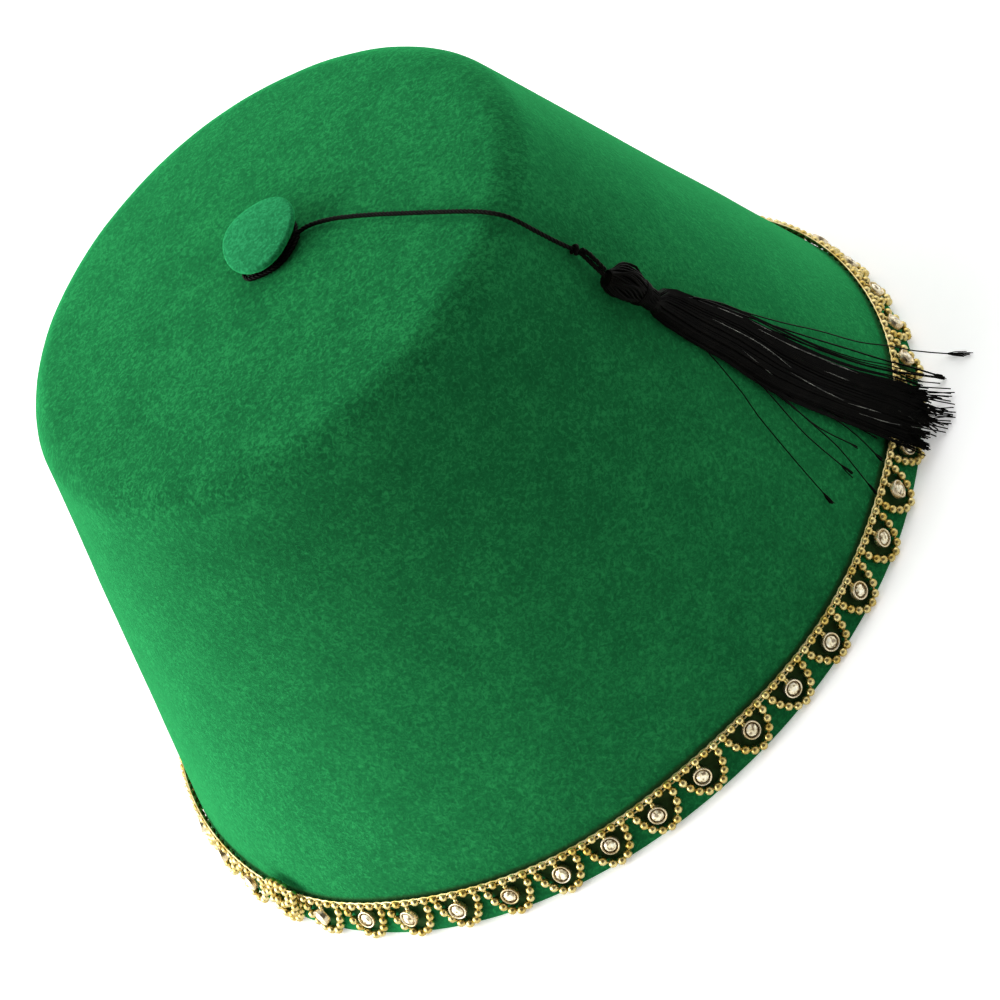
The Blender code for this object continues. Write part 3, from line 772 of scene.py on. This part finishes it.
for vert in button.data.vertices:
    angle = atan2(vert.co.y, vert.co.x)
    share = vert.co.xy.length / BUTTON_RADIUS
    cut = sum(size * cos(waves * (angle - radians(top))) for waves, size, top in HAND_CUT) * MM
    vert.co.xy *= 1 + cut * share / BUTTON_RADIUS
    vert.co += Vector((BUTTON_X, BUTTON_Y, 0))
bpy.ops.object.shade_smooth_by_angle(angle=SOFT_EDGE)
# The button's felt is the crown's felt coloured lighter, with a lighter bloom, as painted light.
button.data.materials.append(wool_felt("green_wool_felt_button", "#155734", "#1B6A3F", "#288151", "#30B86C"))
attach(button, "root")
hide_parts("top_button")

# Row of beads. Gilt beads are wired side by side along the top of the trim, a small link between
# each two, and a wavy gilt wire edges them above. It is glued round the wall just above the rim.
ROW_BEADS = 5 * SCALLOPS
BEAD_OFF = 1.0 * MM  # how far the trim's beads and wires lie off the felt
ROW_RADIUS = 0.95 * MM
BEAD_CLIMBS = (-0.08, 0.08)  # how far a bead lies above its place, and off it, in millimetres
BEAD_OFFS = (0, 0.1)
LINK_RADIUS = 0.42 * MM
LINK_WIRE = 0.17 * MM
LINK_STRETCH = 1.25  # how much longer than wide a link is
TRIM_WIRE = 0.22 * MM
EDGE_CLIMBS = [0.85 * MM, 0.65 * MM]  # the edge wire's waves above the row, by a bead and by a link
END_ANGLE = radians(-160.3)  # where the trim's end is laid over its start
END_BEADS = 5
END_RISE = 2.0 * MM
END_LIFT = 1.4 * MM


def trim_place(angle, climb, off):
    """A place on the trim as it is laid, with X along the rim, Y up the wall and Z straight off it."""
    waves, degrees, top = SPACING_WAVE
    angle += radians(degrees) * cos(waves * (angle - radians(top)))
    for waves, high, top in LEVEL_WAVES:
        climb += high * MM * cos(waves * (angle - radians(top)))
    along = Vector((-sin(angle), cos(angle), 0))
    out = Vector((cos(angle) * cos(SLOPE), sin(angle) * cos(SLOPE), sin(SLOPE)))
    place = Matrix((along, out.cross(along), out)).transposed().to_4x4()
    place.translation = wall_point(angle, climb, off)
    return place


def repeated(name, pattern, places):
    """Copies the pattern to each place, joins the copies as one piece and deletes the pattern."""
    copies = []
    for place in places:
        copy = pattern.copy()
        copy.data = pattern.data.copy()
        copy.data.transform(place)
        bpy.context.collection.objects.link(copy)
        copies.append(copy)
    bpy.data.objects.remove(pattern)
    select_only(*copies)
    bpy.ops.object.join()
    piece = bpy.context.object
    piece.name = name
    return piece


# Brass beads, tumbled bright and gilt. Each one mirrors the bright room in a pale gold ring, and the
# dark side of the room in its middle. The pits left by tumbling are drawn as coarse as need be to show.
TARNISH = 3 * MM
PITS = 0.25 * MM
PIT_DEPTH = 0.05 * MM


def gilt(name, dark, light, rough):
    made, tree, place = material(name)
    pits = noise(tree, place, PITS, 2)
    ramp = shades(tree, noise(tree, place, TARNISH, 2), (0.35, dark), (0.6, light))
    wear = remap(tree, pits, 0.3, 0.7, rough * 0.7, rough * 1.4)
    relief = add(tree, "Bump", {"Height": pits, "Strength": 0.15, "Distance": PIT_DEPTH})
    return surface(made, {"Base Color": ramp, "Metallic": 1.0, "Roughness": wear, "Normal": relief})


gilt_bead = gilt("gilt_brass_bead", "#B79C4C", "#D2C184", 0.3)
gilt_wire = gilt("gilt_wire", "#B8A05C", "#D6C492", 0.34)


def bead(radius, finish):
    """A round bead on its wire, which runs along X."""
    bpy.ops.mesh.primitive_uv_sphere_add(segments=10, ring_count=6, radius=radius, rotation=(0, pi / 2, 0))
    made = bpy.context.object
    bpy.ops.object.transform_apply()
    bpy.ops.object.shade_smooth()
    made.data.materials.append(finish)
    return made


def link(radius, wire, finish):
    """A small ring of wire that lies on the felt."""
    bpy.ops.mesh.primitive_torus_add(major_segments=10, minor_segments=5, major_radius=radius,
                                     minor_radius=wire)
    made = bpy.context.object
    bpy.ops.object.mode_set(mode="EDIT")
    bpy.ops.mesh.select_all(action="SELECT")
    scale(LINK_STRETCH, 1, 1)
    bpy.ops.object.mode_set(mode="OBJECT")
    bpy.ops.object.shade_smooth()
    made.data.materials.append(finish)
    return made


def row_place(number, climb=0, off=BEAD_OFF):
    """The place of a bead of the row, or between two beads, a climb above the row."""
    return trim_place(TRIM_TURN + tau * number / ROW_BEADS, ROW_CLIMB + climb, off)


def end_place(number, climb=0):
    """The same place in the end that is laid over the row's start."""
    angle = END_ANGLE + tau * (number - (END_BEADS - 1) / 2) / ROW_BEADS
    return trim_place(angle, ROW_CLIMB + END_RISE + climb, BEAD_OFF + END_LIFT)


rng = random.Random(5)
places = [row_place(number, rng.uniform(*BEAD_CLIMBS) * MM, BEAD_OFF + rng.uniform(*BEAD_OFFS) * MM)
          for number in range(ROW_BEADS)]
places += [end_place(number) for number in range(END_BEADS)]
row_beads = repeated("row_beads", bead(ROW_RADIUS, gilt_bead), places)
places = [row_place(number + 0.5) for number in range(ROW_BEADS)]
places += [end_place(number + 0.5) for number in range(END_BEADS - 1)]
row_links = repeated("row_links", link(LINK_RADIUS, LINK_WIRE, gilt_wire), places)
edge = [(row_place(number / 2, EDGE_CLIMBS[number % 2]).translation, 1)
        for number in range(2 * ROW_BEADS + 1)]
end_edge = [(end_place(number / 2, EDGE_CLIMBS[number % 2]).translation, 1)
            for number in range(2 * END_BEADS - 1)]
edge_wire = yarn("edge_wire", [edge, end_edge], TRIM_WIRE, 1, [gilt_wire])
for piece in (row_beads, row_links, edge_wire):
    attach(piece, "root")
    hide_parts("beaded_row")

# Scallops. Nine gilt beads on a wire hang as a loop below every five beads of the row, down to just
# above the rim.
LOOP_RADIUS = 1.0 * MM
LOOP_BEADS = 9
LOOP_STEPS = 240
LOOP_RISES = (-0.15, 0.25)  # how far a loop hangs above its place, in millimetres
LOOSE_BEAD = (0.08, 0.08, 0.15)  # how far a bead strays from its place each way, and up
UNEVEN_SCALLOP = 0.01  # how far a scallop or its stone is from its even place, in scallops
END_LOOPS = [  # bunched at the end: half width and drop in millimetres, beads
    (4.2, 7.0, 8), (2.8, 4.2, 5), (3.4, -1.8, 4)]


def scallop_angle(scallop):
    """The angle of a scallop, which is laid a little unevenly."""
    uneven = rng.uniform(-UNEVEN_SCALLOP, UNEVEN_SCALLOP)
    return TRIM_TURN + tau * (scallop + uneven) / SCALLOPS


def loop_places(angle, rise, off, half_width=LOOP_HALF_WIDTH, drop=LOOP_DROP, beads=LOOP_BEADS):
    """Places evenly along one hanging loop: its beads, each with X along the wire."""
    turns = [pi * step / LOOP_STEPS for step in range(LOOP_STEPS + 1)]
    fine = [(-half_width * cos(turn), ROW_CLIMB + rise - drop * sin(turn)) for turn in turns]
    run = [0]
    for before, after in zip(fine, fine[1:]):
        run.append(run[-1] + dist(before, after))
    found = []
    for number in range(beads + 2):
        wanted = run[-1] * number / (beads + 1)
        index = min(range(len(run)), key=lambda item: abs(run[item] - wanted))
        low = fine[max(index - 1, 0)]
        high = fine[min(index + 1, len(fine) - 1)]
        across, climb = fine[index]
        lean = atan2(high[1] - low[1], high[0] - low[0])
        place = trim_place(angle + across / (RIM_RADIUS - climb * sin(SLOPE)), climb, off)
        found.append(place @ Matrix.Rotation(lean, 4, "Z"))
    return found


places = []
wires = []
for scallop in range(SCALLOPS):
    rise = rng.uniform(*LOOP_RISES) * MM
    loop = loop_places(scallop_angle(scallop), rise, BEAD_OFF)
    wires.append([(place.translation, 1) for place in loop])
    for place in loop[1:-1]:
        x, y, z = LOOSE_BEAD
        place.translation += Vector((rng.uniform(-x, x), rng.uniform(-y, y), rng.uniform(0, z))) * MM
        place.translation.z = max(place.translation.z, LOOP_RADIUS + NEAR)
        places.append(place)
for half_width, drop, beads in END_LOOPS:
    end_loop = loop_places(END_ANGLE, END_RISE, BEAD_OFF + END_LIFT, half_width * MM, drop * MM, beads)
    wires.append([(place.translation, 1) for place in end_loop])
    places += end_loop[1:-1]
loop_beads = repeated("scallop_beads", bead(LOOP_RADIUS, gilt_bead), places)
loop_wire = yarn("scallop_wire", wires, TRIM_WIRE, 0, [gilt_wire])
for piece in (loop_beads, loop_wire):
    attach(piece, "root")
    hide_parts("beaded_scallops")

# Stones. In every scallop a clear glass stone in a gilt cup hangs on a short link from the row. The
# cups hang loosely, so each is turned and tilted a little.
CUP_CLIMB = 5.45 * MM
CUP_RADIUS = 2 * MM
CUP_DEPTH = 1.3 * MM
CUP_LIP = 0.3 * MM
CUP_STEPS = [  # the steps down inside the lip: how far in and how far down, in millimetres
    (0.1, 0.45), (0.5, 0.5)]
CUP_BEVEL = 0.09 * MM
CUP_SIDES = 20
STONE_RADIUS = 1.3 * MM
STONE_SIDES = 10
STONE_TABLE = 0.75 * MM
STONE_RISE = 0.4 * MM
STONE_DEEP = 0.5 * MM
STONE_FOOT = 0.15  # the foot's share of the stone's radius
STONE_GIRDLE = 0.16 * MM
STONE_SEAT = 0.22 * MM  # how far the stone's girdle lies below the cup's lip
CUP_OFF = 0.8 * MM
CUP_TILT = radians(10)
CUP_SWINGS = (-0.8, 0.5)  # how far a cup swings along the row, up the wall and off it, in millimetres
CUP_CLIMBS = (-0.35, 0.3)
CUP_OFFS = (-0.2, 0.3)
STEM_OFF = 1.3 * MM
STEM_RADIUS = 0.5 * MM
STEM_DROP = 1.15 * MM  # how far below the row the stem and the hook hang
STEM_SWING = 0.15  # how far they swing, as a share of the cup's swing
HOOK_DROP = 1.85 * MM
HOOK_SWING = 0.3
HOOK_RADIUS = 0.42 * MM
HOOK_WIRE = 0.18 * MM

cup = disc(CUP_SIDES, CUP_RADIUS, CUP_DEPTH, CUP_DEPTH / 2)
pick_facing(1)
bpy.ops.mesh.inset(thickness=CUP_LIP, depth=0)
for inward, down in CUP_STEPS:
    bpy.ops.mesh.inset(thickness=inward * MM, depth=-down * MM)
pick("EDGE", lambda edge: lies_at(edge, CUP_DEPTH)
     and all(vert.co.xy.length > CUP_RADIUS - CUP_LIP - NEAR for vert in edge.verts))
bpy.ops.mesh.bevel(offset=CUP_BEVEL, segments=2)
bpy.ops.object.mode_set(mode="OBJECT")
bpy.ops.object.shade_smooth_by_angle(angle=SOFT_EDGE)
cup.data.materials.append(gilt("gilt_cup", "#BDA87C", "#DACDB2", 0.3))

stone = disc(STONE_SIDES, STONE_RADIUS, STONE_GIRDLE, CUP_DEPTH - STONE_SEAT)
pick_facing(1)
extrude(STONE_RISE)
scale(STONE_TABLE / STONE_RADIUS, STONE_TABLE / STONE_RADIUS, 1)
pick_facing(-1)
extrude(-STONE_DEEP)
scale(STONE_FOOT, STONE_FOOT, 1)
bpy.ops.object.mode_set(mode="OBJECT")

# Lead glass, pressed and fire polished, with silver foil fused to its back. The foil shines through
# the whole stone as a creamy white, under the hard gloss of the glass.
RIPPLES = 0.9 * MM
RIPPLE_DEPTH = 0.1 * MM

glass, tree, place = material("foil_backed_glass")
ripple = noise(tree, place, RIPPLES, 1)
relief = add(tree, "Bump", {"Height": ripple, "Strength": 0.2, "Distance": RIPPLE_DEPTH})
tint = shades(tree, ripple, (0.38, "#84704E"), (0.47, "#F2E2B4"), (0.7, "#FFFBE4"))
stone.data.materials.append(surface(glass, {
    "Base Color": tint, "Metallic": 0.3, "Roughness": 0.35, "IOR": 1.56,
    "Coat Weight": 1.0, "Coat Roughness": 0.03, "Coat IOR": 1.56, "Normal": relief}))

cup_places = []
stem_places = []
hook_places = []
for scallop in range(SCALLOPS):
    angle = scallop_angle(scallop)
    if abs(angle - tau - END_ANGLE) < pi / SCALLOPS:
        continue
    swing = rng.uniform(*CUP_SWINGS) * MM
    place = trim_place(angle + swing / RIM_RADIUS, CUP_CLIMB + rng.uniform(*CUP_CLIMBS) * MM,
                       CUP_OFF + rng.uniform(*CUP_OFFS) * MM)
    tilt = Matrix.Rotation(rng.uniform(-1, 1) * CUP_TILT, 4, "X")
    tilt = tilt @ Matrix.Rotation(rng.uniform(-1, 1) * CUP_TILT, 4, "Y")
    cup_places.append(place @ tilt @ Matrix.Rotation(rng.uniform(*ANY_TURN), 4, "Z"))
    stem_places.append(trim_place(angle + STEM_SWING * swing / RIM_RADIUS, ROW_CLIMB - STEM_DROP, STEM_OFF))
    hook_places.append(trim_place(angle + HOOK_SWING * swing / RIM_RADIUS, ROW_CLIMB - HOOK_DROP, STEM_OFF)
                       @ Matrix.Rotation(pi / 2, 4, "Z"))
cups = repeated("stone_cups", cup, cup_places)
stones = repeated("glass_stones", stone, cup_places)
stems = repeated("stone_stems", bead(STEM_RADIUS, gilt_bead), stem_places)
hooks = repeated("stone_hooks", link(HOOK_RADIUS, HOOK_WIRE, gilt_wire), hook_places)
for piece in (cups, stones, stems, hooks):
    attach(piece, "root")
    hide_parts("beaded_row")

# Floor and lights. A plain white table, faintly lit from below, in a light tent. Lamps stand outside
# the tent on the left, a soft one behind on the right. It is dark only where the camera looks in.
FLOOR_SIZE = 8
FLOOR_GRAIN = 4 * MM
FLOOR_GLOW = 0.33
TENT = 0.66
TENT_DARK = 0.15  # the share of the tent's light that comes from where the camera looks in
DARK_TO = cos(radians(34))  # the opening, as an angle from the line to the camera
LIT_FROM = cos(radians(54))
LAMPS = [  # where a lamp stands, and how much it adds at its brightest
    (Vector((0.58, 0.58, 0.57)).normalized(), 1.68),
    (Vector((-0.96, 0.26, 0.09)).normalized(), 10.5)]
LAMP_NARROWING = 5  # the power that narrows a lamp's light
BACKDROP = 1.1

bpy.ops.mesh.primitive_plane_add(size=FLOOR_SIZE)
floor = bpy.context.object
floor.name = "floor"
opal, tree, place = material("lit_opal_acrylic")
tone = shades(tree, noise(tree, place, FLOOR_GRAIN, 2), (0.3, "#F8F8F7"), (0.7, "#FBFBFA"))
floor.data.materials.append(surface(opal, {
    "Base Color": tone, "Roughness": 0.9, "Specular IOR Level": 0.1,
    "Emission Color": (1, 1, 1, 1), "Emission Strength": FLOOR_GLOW}))

world = bpy.data.worlds.new("light_tent")
world.use_nodes = True
bpy.context.scene.world = world
tree = world.node_tree
tree.nodes.clear()
sky = add(tree, "TexCoord")
facing = add(tree, "VectorMath", {0: sky.outputs["Generated"], 1: tuple(towards)}, operation="DOT_PRODUCT")
opening = remap(tree, facing.outputs["Value"], LIT_FROM, DARK_TO, 1, TENT_DARK, "SMOOTHSTEP")
glow = add(tree, "Value")
glow.outputs[0].default_value = TENT
for side, strength in LAMPS:
    lit = add(tree, "VectorMath", {0: sky.outputs["Generated"], 1: tuple(side)}, operation="DOT_PRODUCT")
    lit = maths(tree, "POWER", maths(tree, "MAXIMUM", lit.outputs["Value"], 0), LAMP_NARROWING)
    glow = maths(tree, "MULTIPLY_ADD", lit, strength, glow)
glow = maths(tree, "MULTIPLY", glow, opening)
ray = add(tree, "LightPath")
seen = add(tree, "Mix", {0: ray.outputs["Is Camera Ray"], 2: glow, 3: BACKDROP})
light = add(tree, "Background", {"Color": (1, 1, 1, 1), "Strength": seen})
add(tree, "OutputWorld", {"Surface": light})

bpy.context.scene.view_settings.view_transform = "Standard"
